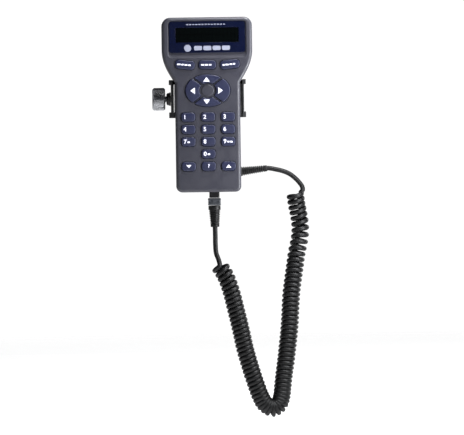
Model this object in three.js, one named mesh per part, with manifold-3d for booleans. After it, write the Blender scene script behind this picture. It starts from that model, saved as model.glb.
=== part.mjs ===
// A telescope's hand controller in its clamp holder, with its curly cord.
//
// Millimetres, +Z up, the keys face -Y. The origin is the centre of the holder's back face,
// which is screwed to the fork arm that carries the telescope. The handset sits between the
// holder's two walls, gripped by a plate that a thumb screw pushes against its left side.

import * as THREE from 'three';
import { mergeVertices } from 'three/addons/utils/BufferGeometryUtils.js';
import Module from 'manifold-3d';

const wasm = await Module();
wasm.setup();

// ---------------------------------------------------------------- driving dimensions

const GAP = 0.3; // clearance kept between pieces that touch

// handset casing, seen from the front
const CASE_TOP = 76.8;
const CASE_BOTTOM = -88.5;
const HEAD_HALF = 42.7;
const BODY_HALF = 30.6;
const SHOULDER_TOP = 46; // the head starts to narrow here
const SHOULDER_END = 15; // and reaches the body's width here
const SHOULDER_FLARE = { out: 2.2, up: 4.5, down: 15 }; // how the curve leaves the body and the head
const TOP_CORNER = 8;
const BOTTOM_CORNER = 5.5;

// handset casing, from back to front
const CASE_BACK = -4.3;
const SEAM = -15.5;
const CASE_FRONT = -33;
const EDGE_ROUND = 3;
const WALL = 2.2;
const FRONT_WALL = 2.6;
const PANEL_INSET = 0.3; // how far the display panel's front lies behind the casing's face

// display
const PANEL = { width: 72, height: 29.5, z: 58.05, corner: 2.5, thickness: 1 };
const WINDOW = { width: 59.6, height: 14, z: 60, corner: 0.8 };
const PANEL_RECESS = 1.6;
const FRAME = { halfWidth: 33, low: 48, high: 72, front: -30.1, sheet: 0.8 };
const HEADER = { halfWidth: 20, low: 44.4, high: 47.4, front: -28.4 };

// keys
const KEY_FRONT = -34.4;
const KEY_CLEARANCE = 0.3;
const KEY_FLANGE = 0.65;
const FLANGE_THICKNESS = 1;
const KEY_TRAVEL = 0.9;
const DIGIT_KEY = { width: 13.4, height: 8.6, corner: 3.2 };
const COLUMN_PITCH = 18.8;
const ROW_PITCH = 11.65;
const FIRST_ROW_Z = -17.4;
const FUNCTION_KEY = { width: 18.6, middleWidth: 16.6, height: 8.4, corner: 3.6 };
const FUNCTION_KEY_Z = 31.8;
const FUNCTION_KEY_X = 21.2;
const FUNCTION_KEY_LIFT = 0.2;
const FUNCTION_KEY_TILT = THREE.MathUtils.degToRad(6);
const RING = { z: 7.5, outerX: 21.3, outerZ: 15.2, innerX: 8, innerZ: 7.2 };
const RING_SIDE_ANGLE = THREE.MathUtils.degToRad(47);
const RING_CAP_ANGLE = THREE.MathUtils.degToRad(53);
const RING_INNER_TRIM = THREE.MathUtils.degToRad(4); // keeps the slots between arrow keys one width
const RING_BOSS = { radiusX: 5.8, radiusZ: 5.4, height: 0.9 };

// inside
const BOARD_FRONT = -25.3;
const BOARD_BACK = -23.7;
const MAT_FRONT = -26.8;
const SCREW_PLACES = [[-35.8, 38.8], [35.8, 38.8], [-24.8, -79.5], [24.8, -79.5]];
const SCREW = { head: 2.8, shank: 1.25, hole: 1.6, tip: -24 };
const SCREW_WELL = { radius: 3.2, depth: 4, post: 4.2 };
const MAT_AREA = { low: -72.5, high: 35.2 };
const DOME_RADIUS = 2.6;
const CHIP_TOP = 2.5; // above the board's back
const PROCESSOR = { halfWidth: 9, low: -22, high: -4 };
const MEMORY = { halfWidth: 8, low: -44, high: -36 };
const BUZZER = { radius: 6, z: 24, height: 6 };

// holder
const HOLDER_HALF_HEIGHT = 18;
const BACK_PLATE = 2.5;
const WALL_INNER = 33;
const WALL_OUTER = 34.5;
const WALL_FRONT = -24;
const RIB_OUTER = 36.3;
const RIB_HEIGHT = { upper: 4.6, lower: 5.4 };
const CLAMP_PLATE = { inner: -30.9, outer: -32.2, front: -27, back: -4.6, low: -12.4, high: 13.8 };
const SIDE_PAD = { low: -17, high: 13.8 };
const BACK_PAD = { halfWidth: 27, halfHeight: 16.5 };
const SCREW_Y = -12;
const STUD_RADIUS = 3;
const BOSS = { radius: 6.4, length: 4 };
const HOLDER_SCREW = { head: 4.6, shank: 2.4, length: 11.5 };
const HOLDER_SCREW_Z = [-10, 10];
const KNOB = { radius: 10.8, inner: -40, outer: -52.2 };

// cord
const WIRE_RADIUS = 2.3;
const COIL_RADIUS = 8.65;
const PORT = { x: 5.3, y: -16.9 };
const HOST_PORT = { y: 14, z: -70 };
const JACK = { halfWidth: 8, low: CASE_BOTTOM + 0.2, high: -73, front: -23.4, back: -10.4 };
const LENS = { halfWidth: 7, front: -21, back: -10, top: CASE_TOP + 0.2 };
const PLUG = { halfWidth: 4.8, halfDepth: 3.3, top: -77, bottom: -94 };
const HOOD = { halfWidth: 6.1, halfDepth: 5.9, top: -94.3, bottom: -101.2 };
const HANDSET_BOOT = { thick: 5.8, thin: 4.2, end: -121.6 };
const HOST_PLUG = { inner: 15.5, outer: 28.2 };
const HOST_BOOT = { thick: 4.5, thin: 3, length: 28, rise: 0.11 };

// The lead hangs straight down from the boot under the handset to the coil.
const HANDSET_LEAD = [
  [5.5, -16.9, -121.9], [5.6, -16.9, -130], [5.6, -16.9, -138], [6.2, -17.6, -146.5], [8.6, -20.6, -153.6],
];

// The coil hangs in one deep loop and comes back up towards the host's port.
const COIL_ROUTE = [
  [9.2, -16.9, -158.8], [14.4, -16.9, -167.5], [18.4, -16.9, -177.7], [21.3, -16.8, -187.9],
  [23.7, -16.7, -198.1], [26.7, -16.5, -210.8], [29.5, -16.2, -223.6], [32.1, -15.8, -236.3],
  [35.5, -15.3, -249.1], [39.2, -14.6, -261.8], [43.4, -13.8, -274.6], [47, -12.9, -284.4],
  [51.8, -11.8, -291.8], [57.8, -10.6, -294.8], [63.5, -9.4, -292.2], [66.7, -8, -285], [68, -6.6, -274.9],
  [69.6, -5, -262.2], [71.6, -3.4, -249.5], [73.2, -1.8, -236.9], [74.8, -0.2, -224.2], [76, 1.4, -211.5],
  [76.8, 3, -198.8], [77.8, 4.6, -186.1], [79.6, 6.2, -173.4], [81.6, 7.8, -160.8], [83.6, 9.4, -148.1],
  [85.8, 10.8, -138.6], [87.3, 12, -129.6], [87.3, 12.4, -119.5], [85.8, 11.6, -109.5],
  [84.2, 10.2, -101.5], [82.9, 8.2, -91.2],
];

// The second lead leaves the coil's top and arches over to the boot at the host's port.
const HOST_LEAD = [
  [90.2, 10.8, -88.3], [89.8, 12.2, -84.8], [87.2, 13.2, -80.9], [83.2, 13.7, -76.6], [78, 13.9, -72.6],
  [72.2, 14, -70], [65.3, 14, -68.2], [57.4, 14, -66.85],
];

// ---------------------------------------------------------------- solids

const deg = THREE.MathUtils.degToRad;

function toSolid(geometry) {
  const bare = geometry.clone();
  bare.deleteAttribute('normal');
  bare.deleteAttribute('uv');
  const merged = mergeVertices(bare, 1e-4);
  return new wasm.Manifold(new wasm.Mesh({
    numProp: 3,
    vertProperties: Float32Array.from(merged.attributes.position.array),
    triVerts: Uint32Array.from(merged.index.array),
  }));
}

function toGeometry(solid) {
  const mesh = solid.getMesh();
  const geometry = new THREE.BufferGeometry();
  geometry.setAttribute('position', new THREE.BufferAttribute(mesh.vertProperties, 3));
  geometry.setIndex(new THREE.BufferAttribute(mesh.triVerts, 1));
  geometry.computeVertexNormals();
  return geometry;
}

function box(x0, x1, y0, y1, z0, z1) {
  const geometry = new THREE.BoxGeometry(Math.abs(x1 - x0), Math.abs(y1 - y0), Math.abs(z1 - z0));
  geometry.translate((x0 + x1) / 2, (y0 + y1) / 2, (z0 + z1) / 2);
  return toSolid(geometry);
}

// A shape drawn in x and z, as thick as the stretch from yFront to yBack.
function slab(shape, yFront, yBack, bevel = 0, bevelSteps = 2) {
  const geometry = new THREE.ExtrudeGeometry(shape, {
    depth: yBack - yFront - 2 * bevel,
    bevelEnabled: bevel > 0,
    bevelThickness: bevel,
    bevelSize: bevel,
    bevelOffset: -bevel,
    bevelSegments: bevelSteps,
    steps: 1,
    curveSegments: 6,
  });
  geometry.rotateX(Math.PI / 2);
  geometry.translate(0, yBack - bevel, 0);
  return toSolid(geometry);
}

function rodX(radius, x0, x1, y, z, sides = 16) {
  const geometry = new THREE.CylinderGeometry(radius, radius, Math.abs(x1 - x0), sides);
  geometry.rotateZ(Math.PI / 2);
  geometry.translate((x0 + x1) / 2, y, z);
  return toSolid(geometry);
}

function rodY(radius, x, z, yFront, yBack, sides = 16) {
  const geometry = new THREE.CylinderGeometry(radius, radius, yBack - yFront, sides);
  geometry.translate(x, (yFront + yBack) / 2, z);
  return toSolid(geometry);
}

// A round piece turned about an axis: rows of [radius, distance along the axis].
function turned(rows, sides, from, direction) {
  const profile = rows.map(([radius, along]) => new THREE.Vector2(radius, along));
  const geometry = new THREE.LatheGeometry(profile, sides);
  const turn = new THREE.Quaternion().setFromUnitVectors(
    new THREE.Vector3(0, 1, 0),
    new THREE.Vector3(...direction).normalize(),
  );
  geometry.applyQuaternion(turn);
  geometry.translate(...from);
  return toSolid(geometry);
}

function shapeOf(points) {
  return new THREE.Shape(points);
}

function roundedRect(width, height, corner, x, z, turn = 0, steps = 4) {
  const points = [];
  const centres = [[1, -1, -90], [1, 1, 0], [-1, 1, 90], [-1, -1, 180]];
  for (const [sideX, sideZ, start] of centres) {
    for (let step = 0; step <= steps; step += 1) {
      const angle = deg(start + (90 * step) / steps);
      points.push(new THREE.Vector2(
        sideX * (width / 2 - corner) + corner * Math.cos(angle),
        sideZ * (height / 2 - corner) + corner * Math.sin(angle),
      ));
    }
  }
  const middle = new THREE.Vector2(x, z);
  return points.map((point) => point.rotateAround(new THREE.Vector2(), turn).add(middle));
}

// The outline moved outwards by a distance, or inwards by a negative one.
function grown(points, distance) {
  const count = points.length;
  return points.map((point, index) => {
    const before = point.clone().sub(points[(index + count - 1) % count]).normalize();
    const after = points[(index + 1) % count].clone().sub(point).normalize();
    const along = before.clone().add(after).normalize();
    const stretch = 1 / Math.max(0.5, along.dot(after));
    const reach = distance * stretch;
    return new THREE.Vector2(point.x + along.y * reach, point.y - along.x * reach);
  });
}

// ---------------------------------------------------------------- outlines

function casingOutline() {
  const shape = new THREE.Shape();
  shape.moveTo(0, CASE_BOTTOM);
  shape.lineTo(BODY_HALF - BOTTOM_CORNER, CASE_BOTTOM);
  shape.absarc(BODY_HALF - BOTTOM_CORNER, CASE_BOTTOM + BOTTOM_CORNER, BOTTOM_CORNER, deg(-90), 0, false);
  shape.lineTo(BODY_HALF, SHOULDER_END);
  shape.bezierCurveTo(
    BODY_HALF + SHOULDER_FLARE.out, SHOULDER_END + SHOULDER_FLARE.up,
    HEAD_HALF, SHOULDER_TOP - SHOULDER_FLARE.down, HEAD_HALF, SHOULDER_TOP,
  );
  shape.lineTo(HEAD_HALF, CASE_TOP - TOP_CORNER);
  shape.absarc(HEAD_HALF - TOP_CORNER, CASE_TOP - TOP_CORNER, TOP_CORNER, 0, deg(90), false);
  const right = shape.getPoints(6);
  const left = right.slice(1).reverse().map((point) => new THREE.Vector2(-point.x, point.y));
  return [...right, ...left];
}

// A point on one of the arrow ring's ovals.
function onOval(radiusX, radiusZ, angle) {
  return new THREE.Vector2(radiusX * Math.cos(angle), RING.z + radiusZ * Math.sin(angle));
}

// One quarter of the oval arrow ring, between two angles.
function ringQuarter(middle, halfAngle, steps) {
  const outer = [];
  const inner = [];
  for (let step = 0; step <= steps; step += 1) {
    const part = (2 * step) / steps - 1;
    const angle = middle + halfAngle * part;
    const innerAngle = middle + (halfAngle - RING_INNER_TRIM) * part;
    outer.push(onOval(RING.outerX, RING.outerZ, angle));
    inner.push(onOval(RING.innerX, RING.innerZ, innerAngle));
  }
  return [...outer, ...inner.reverse()];
}

function digitOutline(column, row) {
  const { width, height, corner } = DIGIT_KEY;
  return roundedRect(width, height, corner, column * COLUMN_PITCH, FIRST_ROW_Z - row * ROW_PITCH);
}

function functionOutline(column) {
  const width = column === 0 ? FUNCTION_KEY.middleWidth : FUNCTION_KEY.width;
  const z = FUNCTION_KEY_Z + Math.abs(column) * FUNCTION_KEY_LIFT;
  return roundedRect(
    width, FUNCTION_KEY.height, FUNCTION_KEY.corner, column * FUNCTION_KEY_X, z, column * FUNCTION_KEY_TILT,
  );
}

const quarter = Math.PI / 2;
const keyOutlines = {
  key_enter: functionOutline(-1),
  key_mode: functionOutline(0),
  key_go: functionOutline(1),
  key_arrow_right: ringQuarter(0, RING_SIDE_ANGLE, 8),
  key_arrow_up: ringQuarter(quarter, quarter - RING_CAP_ANGLE, 5),
  key_arrow_left: ringQuarter(2 * quarter, RING_SIDE_ANGLE, 8),
  key_arrow_down: ringQuarter(3 * quarter, quarter - RING_CAP_ANGLE, 5),
};
for (let digit = 1; digit <= 9; digit += 1) {
  keyOutlines[`key_${digit}`] = digitOutline(((digit - 1) % 3) - 1, Math.floor((digit - 1) / 3));
}
keyOutlines.key_0 = digitOutline(0, 3);
keyOutlines.key_scroll_down = digitOutline(-1, 4);
keyOutlines.key_help = digitOutline(0, 4);
keyOutlines.key_scroll_up = digitOutline(1, 4);

// ---------------------------------------------------------------- materials

function finish(color, roughness, metalness = 0) {
  return new THREE.MeshStandardMaterial({ color, roughness, metalness });
}

const casingPlastic = finish(0x5a5a64, 0.55);
const panelPlastic = finish(0x1c2438, 0.15);
const windowPlastic = finish(0x07090d, 0.08);
const keyRubber = finish(0x33365a, 0.6);
const matRubber = finish(0x3a3d55, 0.8);
const boardGreen = finish(0x1d5a38, 0.5);
const chipBlack = finish(0x15151a, 0.5);
const tinPlate = finish(0xb8bac0, 0.35, 1);
const screwSteel = finish(0x9a9ca2, 0.35, 1);
const lensRed = finish(0x8a1414, 0.15);
const jackBlack = finish(0x141416, 0.5);
const hoodGrey = finish(0xb4b6ba, 0.3);
const cordBlack = finish(0x1c1c1e, 0.45);
const holderPaint = finish(0x222224, 0.5, 0.3);
const padRubber = finish(0x18181a, 0.9);
const plateNickel = finish(0xc4c4c8, 0.25, 1);
const knobChrome = finish(0xb9bbbf, 0.2, 1);

const controller = new THREE.Group();

function addPiece(name, shape, material) {
  const mesh = new THREE.Mesh(shape.isBufferGeometry ? shape : toGeometry(shape), material);
  mesh.name = name;
  controller.add(mesh);
  return mesh;
}

// ---------------------------------------------------------------- handset casing

const outline = casingOutline();
const cavityOutline = grown(outline, -WALL);
const wholeCasing = slab(shapeOf(outline), CASE_FRONT, CASE_BACK, EDGE_ROUND, 3);
const cavity = slab(shapeOf(cavityOutline), CASE_FRONT + FRONT_WALL, CASE_BACK - WALL);

// The jack fills a cut-out in the bottom wall, shared by both casings.
const jackCutOut = box(
  PORT.x - JACK.halfWidth - GAP, PORT.x + JACK.halfWidth + GAP,
  JACK.front - GAP, JACK.back + GAP, CASE_BOTTOM - 2, CASE_BOTTOM + WALL + 2,
);

const lensCutOut = box(
  -LENS.halfWidth - GAP, LENS.halfWidth + GAP, LENS.front - GAP, LENS.back + GAP,
  CASE_TOP - WALL - 2, CASE_TOP + 2,
);

// All of the space between two depths, out past the casing's edges.
function layer(yFront, yBack) {
  return box(-2 * HEAD_HALF, 2 * HEAD_HALF, yFront, yBack, 2 * CASE_BOTTOM, 2 * CASE_TOP);
}

function frontCasing() {
  let casing = wholeCasing.subtract(cavity).intersect(layer(2 * CASE_FRONT, SEAM - GAP / 2));
  const panelOutline = roundedRect(PANEL.width, PANEL.height, PANEL.corner, 0, PANEL.z);
  const recess = slab(shapeOf(grown(panelOutline, GAP)), CASE_FRONT - 2, CASE_FRONT + PANEL_RECESS);
  const windowHole = roundedRect(WINDOW.width, WINDOW.height, WINDOW.corner, 0, WINDOW.z);
  casing = casing.subtract(recess);
  casing = casing.subtract(slab(shapeOf(windowHole), CASE_FRONT - 2, CASE_FRONT + 6));
  for (const keyOutline of Object.values(keyOutlines)) {
    const hole = shapeOf(grown(keyOutline, KEY_CLEARANCE));
    casing = casing.subtract(slab(hole, CASE_FRONT - 2, CASE_FRONT + 5));
  }
  const bossFoot = CASE_FRONT + 0.5;
  const boss = turned([[0, 0], [1, 0], [0.85, 1], [0, 1]], 20, [0, 0, 0], [0, -1, 0])
    .scale([RING_BOSS.radiusX, RING_BOSS.height + 0.5, RING_BOSS.radiusZ])
    .translate([0, bossFoot, RING.z]);
  casing = casing.add(boss);
  const inside = slab(shapeOf(grown(outline, -WALL / 2)), CASE_FRONT + 1, CASE_BACK);
  for (const [x, z] of SCREW_PLACES) {
    casing = casing.add(rodY(2 * SCREW.hole, x, z, CASE_FRONT + 1, SEAM - GAP / 2, 12).intersect(inside));
    casing = casing.subtract(rodY(SCREW.hole, x, z, CASE_FRONT + 5, 0, 10));
  }
  return casing.subtract(jackCutOut).subtract(lensCutOut);
}

function rearCasing() {
  let casing = wholeCasing.subtract(cavity).intersect(layer(SEAM + GAP / 2, 0));
  const inside = slab(shapeOf(grown(outline, -WALL / 2)), CASE_FRONT, CASE_BACK - 1);
  for (const [x, z] of SCREW_PLACES) {
    casing = casing.add(rodY(SCREW_WELL.post, x, z, SEAM + GAP / 2, CASE_BACK - 1, 12).intersect(inside));
    casing = casing.subtract(rodY(SCREW.hole, x, z, CASE_FRONT, 0, 10));
    casing = casing.subtract(rodY(SCREW_WELL.radius, x, z, CASE_BACK - SCREW_WELL.depth, 0, 12));
  }
  return casing.subtract(jackCutOut).subtract(lensCutOut);
}

addPiece('front_casing', frontCasing(), casingPlastic);
addPiece('rear_casing', rearCasing(), casingPlastic);

SCREW_PLACES.forEach(([x, z], index) => {
  const seat = CASE_BACK - SCREW_WELL.depth + 0.4;
  const head = rodY(SCREW.head, x, z, seat, seat + 2, 12);
  const shank = rodY(SCREW.shank, x, z, SCREW.tip, seat + 1, 8);
  addPiece(`casing_screw_${index + 1}`, head.add(shank), screwSteel);
});

const lens = box(-LENS.halfWidth, LENS.halfWidth, LENS.front, LENS.back, CASE_TOP - WALL - 0.4, LENS.top);
addPiece('light_lens', lens, lensRed);

// ---------------------------------------------------------------- display

function displayPanel() {
  const front = CASE_FRONT + PANEL_INSET;
  const sheet = roundedRect(PANEL.width, PANEL.height, PANEL.corner, 0, PANEL.z);
  const panel = slab(shapeOf(sheet), front, front + PANEL.thickness);
  const hole = roundedRect(WINDOW.width, WINDOW.height, WINDOW.corner, 0, WINDOW.z);
  return panel.subtract(slab(shapeOf(hole), front - 2, front + 4));
}

function displayWindow() {
  const front = CASE_FRONT + PANEL_INSET + 0.1;
  const pane = roundedRect(
    WINDOW.width - 2 * GAP, WINDOW.height - 2 * GAP, WINDOW.corner - GAP, 0, WINDOW.z,
  );
  return slab(shapeOf(pane), front, front + PANEL.thickness);
}

const frameBack = BOARD_FRONT - GAP;

function displayFrame() {
  const { halfWidth, low, high, front, sheet } = FRAME;
  const shell = box(-halfWidth, halfWidth, front, frameBack, low, high);
  const pocket = box(
    -halfWidth + sheet, halfWidth - sheet, front + sheet, frameBack + 1, low + sheet, high - sheet,
  );
  const view = box(
    -WINDOW.width / 2, WINDOW.width / 2, front - 1, front + 3,
    WINDOW.z - WINDOW.height / 2, WINDOW.z + WINDOW.height / 2,
  );
  return shell.subtract(pocket).subtract(view);
}

// The glass and its circuit, inside the frame.
function displayModule() {
  const { halfWidth, low, high, front, sheet } = FRAME;
  const margin = sheet + 0.4;
  return box(
    -halfWidth + margin, halfWidth - margin, front + sheet + GAP, frameBack - 0.2,
    low + margin, high - margin,
  );
}

addPiece('display_panel', displayPanel(), panelPlastic);
addPiece('display_window', displayWindow(), windowPlastic);
addPiece('display_frame', displayFrame(), tinPlate);
addPiece('display_module', displayModule(), chipBlack);
addPiece('display_header', box(
  -HEADER.halfWidth, HEADER.halfWidth, HEADER.front, frameBack, HEADER.low, HEADER.high,
), jackBlack);

// ---------------------------------------------------------------- keys and mat

function keyPiece(keyOutline) {
  const flangeFront = CASE_FRONT + FRONT_WALL + GAP;
  const flangeBack = flangeFront + FLANGE_THICKNESS;
  const cap = slab(shapeOf(keyOutline), KEY_FRONT, flangeBack - 0.2);
  return cap.add(slab(shapeOf(grown(keyOutline, KEY_FLANGE)), flangeFront, flangeBack));
}

for (const [name, keyOutline] of Object.entries(keyOutlines)) {
  addPiece(name, keyPiece(keyOutline), keyRubber);
}

function keyCentre(keyOutline) {
  return new THREE.Box2().setFromPoints(keyOutline).getCenter(new THREE.Vector2());
}

// The mat lies behind the keys, with a low dome under each one, clear of a key that is pressed.
function keypadMat() {
  const sheet = slab(shapeOf(grown(outline, -WALL - 0.8)), MAT_FRONT, BOARD_FRONT - GAP);
  let mat = sheet.intersect(box(-BODY_HALF * 2, BODY_HALF * 2, CASE_FRONT, 0, MAT_AREA.low, MAT_AREA.high));
  const domeFront = CASE_FRONT + FRONT_WALL + GAP + FLANGE_THICKNESS + KEY_TRAVEL + 0.2;
  for (const keyOutline of Object.values(keyOutlines)) {
    const { x, y } = keyCentre(keyOutline);
    mat = mat.add(rodY(DOME_RADIUS, x, y, domeFront, MAT_FRONT + 0.3, 8));
  }
  return mat;
}

addPiece('keypad_mat', keypadMat(), matRubber);

// ---------------------------------------------------------------- board, jack

function mainBoard() {
  let board = slab(shapeOf(grown(outline, -WALL - 0.5)), BOARD_FRONT, BOARD_BACK);
  for (const [x, z] of SCREW_PLACES) {
    board = board.subtract(rodY(2 * SCREW.hole + GAP + 0.1, x, z, CASE_FRONT, 0, 12));
  }
  return board;
}

// The jack's socket takes the plug with a little play, and its keyway takes the plug's latch.
function cordJack() {
  const { halfWidth, low, high, front, back } = JACK;
  const { x, y } = PORT;
  const block = box(x - halfWidth, x + halfWidth, front, back, low, high);
  const playX = PLUG.halfWidth + 0.4;
  const playY = PLUG.halfDepth + 0.4;
  const socket = box(x - playX, x + playX, y - playY, y + playY, low - 1, high - 3);
  const keyway = box(x - 2.2, x + 2.2, y - playY - 1.7, y, low - 1, high - 3);
  return block.subtract(socket).subtract(keyway);
}

// A block on the board's back.
function chip({ halfWidth, low, high }) {
  return box(-halfWidth, halfWidth, BOARD_BACK + GAP, BOARD_BACK + CHIP_TOP, low, high);
}

addPiece('main_board', mainBoard(), boardGreen);
addPiece('cord_jack', cordJack(), jackBlack);
addPiece('processor_chip', chip(PROCESSOR), chipBlack);
addPiece('memory_chip', chip(MEMORY), chipBlack);
addPiece('buzzer', rodY(
  BUZZER.radius, 0, BUZZER.z, BOARD_BACK + GAP, BOARD_BACK + BUZZER.height, 16,
), jackBlack);

// ---------------------------------------------------------------- holder

function holderBracket() {
  const high = HOLDER_HALF_HEIGHT;
  let bracket = box(-WALL_OUTER, WALL_OUTER, -BACK_PLATE, 0, -high, high);
  for (const side of [-1, 1]) {
    const inner = side * WALL_INNER;
    const rib = side * RIB_OUTER;
    bracket = bracket.add(box(inner, side * WALL_OUTER, WALL_FRONT, 0, -high, high));
    bracket = bracket.add(box(inner, rib, WALL_FRONT, 0, high - RIB_HEIGHT.upper, high));
    bracket = bracket.add(box(inner, rib, WALL_FRONT, 0, -high, -high + RIB_HEIGHT.lower));
  }
  // The clamp plate stands on a shelf.
  const { inner, back, low } = CLAMP_PLATE;
  bracket = bracket.add(box(-WALL_INNER - 0.5, inner - GAP, WALL_FRONT, back, -high, low - GAP));
  bracket = bracket.subtract(rodX(STUD_RADIUS + 0.4, -WALL_INNER + 0.6, -RIB_OUTER - 1, SCREW_Y, 0));
  const { head, shank } = HOLDER_SCREW;
  const countersink = [[0, -1], [head + 0.8, -1], [head + 0.8, 0], [shank + 0.4, 2], [0, 2]];
  for (const z of HOLDER_SCREW_Z) {
    bracket = bracket.subtract(rodY(shank + 0.4, 0, z, -2 * BACK_PLATE, BACK_PLATE, 16));
    bracket = bracket.subtract(turned(countersink, 16, [0, -BACK_PLATE, z], [0, 1, 0]));
  }
  return bracket;
}

function holderScrew(z) {
  const { head, shank, length } = HOLDER_SCREW;
  const rows = [
    [0, 0.2], [head, 0.2], [shank, 2], [shank, length - 0.5], [shank - 0.4, length], [0, length],
  ];
  return turned(rows, 16, [0, -BACK_PLATE, z], [0, 1, 0]);
}

function clampPlate() {
  const { inner, outer, front, back, low, high } = CLAMP_PLATE;
  return box(inner, outer, front, back, low, high);
}

function screwBoss() {
  const { radius, length } = BOSS;
  const rows = [[0, 0], [radius, 0], [radius, length - 0.6], [radius - 0.6, length], [0, length]];
  const boss = turned(rows, 20, [-WALL_OUTER - GAP, SCREW_Y, 0], [-1, 0, 0]);
  return boss.subtract(rodX(STUD_RADIUS + 0.35, -WALL_OUTER + 1, KNOB.inner - 2, SCREW_Y, 0));
}

function clampKnob() {
  const length = KNOB.inner - KNOB.outer;
  const { radius } = KNOB;
  const rows = [
    [0, 0], [radius - 1, 0], [radius, 1], [radius, length - 1.2], [radius - 1.2, length], [0, length],
  ];
  const knob = turned(rows, 28, [KNOB.inner, SCREW_Y, 0], [-1, 0, 0]);
  return knob.subtract(rodX(STUD_RADIUS + GAP, KNOB.inner + 1, KNOB.inner - 8.3, SCREW_Y, 0));
}

addPiece('holder_bracket', holderBracket(), holderPaint);
addPiece('holder_screw_lower', holderScrew(HOLDER_SCREW_Z[0]), screwSteel);
addPiece('holder_screw_upper', holderScrew(HOLDER_SCREW_Z[1]), screwSteel);
addPiece('back_pad', box(
  -BACK_PAD.halfWidth, BACK_PAD.halfWidth, CASE_BACK + GAP, -BACK_PLATE - GAP,
  -BACK_PAD.halfHeight, BACK_PAD.halfHeight,
), padRubber);
addPiece('side_pad', box(
  BODY_HALF + GAP, WALL_INNER - GAP, WALL_FRONT + 1, CLAMP_PLATE.back, SIDE_PAD.low, SIDE_PAD.high,
), padRubber);
addPiece('clamp_plate', clampPlate(), plateNickel);
addPiece('screw_boss', screwBoss(), holderPaint);
addPiece('screw_stud', rodX(STUD_RADIUS, CLAMP_PLATE.outer - GAP, KNOB.inner - 8, SCREW_Y, 0), screwSteel);
addPiece('clamp_knob', clampKnob(), knobChrome);

// ---------------------------------------------------------------- cord

// A plug's block, or its hood, round the line that the cord hangs from.
function hangingBlock({ halfWidth, halfDepth, top, bottom }) {
  const { x, y } = PORT;
  return box(x - halfWidth, x + halfWidth, y - halfDepth, y + halfDepth, bottom, top);
}

// A tapered strain relief with a plain collar.
function boot({ thick, thin }, length, from, direction) {
  const rows = [[0, 0], [thick, 0], [thick - 0.3, 3.5], [thin, length], [0, length]];
  return turned(rows, 14, from, direction);
}

addPiece('handset_plug', hangingBlock(PLUG), jackBlack);
addPiece('plug_hood', hangingBlock(HOOD), hoodGrey);
const handsetBootTop = HOOD.bottom - GAP;
addPiece('handset_boot', boot(
  HANDSET_BOOT, handsetBootTop - HANDSET_BOOT.end, [PORT.x, PORT.y, handsetBootTop], [0.012, 0, -1],
), cordBlack);
addPiece('host_plug', box(
  HOST_PLUG.inner, HOST_PLUG.outer, HOST_PORT.y - PLUG.halfDepth, HOST_PORT.y + PLUG.halfDepth,
  HOST_PORT.z - PLUG.halfWidth, HOST_PORT.z + PLUG.halfWidth,
), jackBlack);
const hostBootStart = [HOST_PLUG.outer + 2 * GAP, HOST_PORT.y, HOST_PORT.z];
addPiece('host_boot', boot(HOST_BOOT, HOST_BOOT.length, hostBootStart, [1, 0, HOST_BOOT.rise]), cordBlack);

// A round section carried along a smooth route.
function tube(route, radius, sides, steps) {
  const section = new THREE.Shape();
  for (let side = 0; side < sides; side += 1) {
    const angle = (2 * Math.PI * side) / sides;
    const move = side === 0 ? 'moveTo' : 'lineTo';
    section[move](radius * Math.cos(angle), radius * Math.sin(angle));
  }
  section.closePath();
  const places = route.map((point) => new THREE.Vector3(...point));
  const path = new THREE.CatmullRomCurve3(places, false, 'centripetal');
  return new THREE.ExtrudeGeometry(section, { steps, bevelEnabled: false, extrudePath: path });
}

addPiece('lead_handset', toSolid(tube(HANDSET_LEAD, WIRE_RADIUS, 8, 5)), cordBlack);
addPiece('coil', toSolid(tube(COIL_ROUTE, COIL_RADIUS, 12, 56)), cordBlack);
addPiece('lead_host', toSolid(tube(HOST_LEAD, WIRE_RADIUS, 8, 12)), cordBlack);

export default controller;
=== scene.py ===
"""A telescope's hand controller in its clamp holder, with its curly cord: the looks.

Metres, +Z up, the keys face -Y. The origin is the centre of the holder's back face.
"""

from math import cos, pi, radians, sin, sqrt

import bmesh
import bpy
import numpy as np
from mathutils import Matrix, Quaternion, Vector


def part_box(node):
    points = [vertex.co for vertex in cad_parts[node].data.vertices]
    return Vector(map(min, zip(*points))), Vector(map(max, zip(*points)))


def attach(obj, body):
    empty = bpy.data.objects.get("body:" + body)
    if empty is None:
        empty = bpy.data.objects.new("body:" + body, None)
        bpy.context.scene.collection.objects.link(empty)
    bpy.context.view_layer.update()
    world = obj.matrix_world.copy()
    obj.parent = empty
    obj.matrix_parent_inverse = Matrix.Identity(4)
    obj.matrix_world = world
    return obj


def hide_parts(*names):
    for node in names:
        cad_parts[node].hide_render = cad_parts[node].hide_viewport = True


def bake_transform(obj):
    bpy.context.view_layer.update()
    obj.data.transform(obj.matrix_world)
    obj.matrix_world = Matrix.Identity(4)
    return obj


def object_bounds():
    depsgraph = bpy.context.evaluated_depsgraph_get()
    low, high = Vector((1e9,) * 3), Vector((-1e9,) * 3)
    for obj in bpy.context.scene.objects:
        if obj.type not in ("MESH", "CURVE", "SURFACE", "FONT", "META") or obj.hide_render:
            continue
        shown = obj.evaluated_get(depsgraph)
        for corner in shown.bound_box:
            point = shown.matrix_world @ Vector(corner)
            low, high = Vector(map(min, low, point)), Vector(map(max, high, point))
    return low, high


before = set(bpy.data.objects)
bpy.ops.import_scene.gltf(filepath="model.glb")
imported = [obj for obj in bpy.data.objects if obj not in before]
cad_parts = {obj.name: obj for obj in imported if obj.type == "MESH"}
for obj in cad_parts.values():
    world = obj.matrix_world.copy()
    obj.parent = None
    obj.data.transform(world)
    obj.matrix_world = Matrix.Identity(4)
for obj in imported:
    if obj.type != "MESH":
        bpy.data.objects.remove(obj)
cad_low, cad_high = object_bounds()

MM = 0.001

# ---------------- driving values

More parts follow.
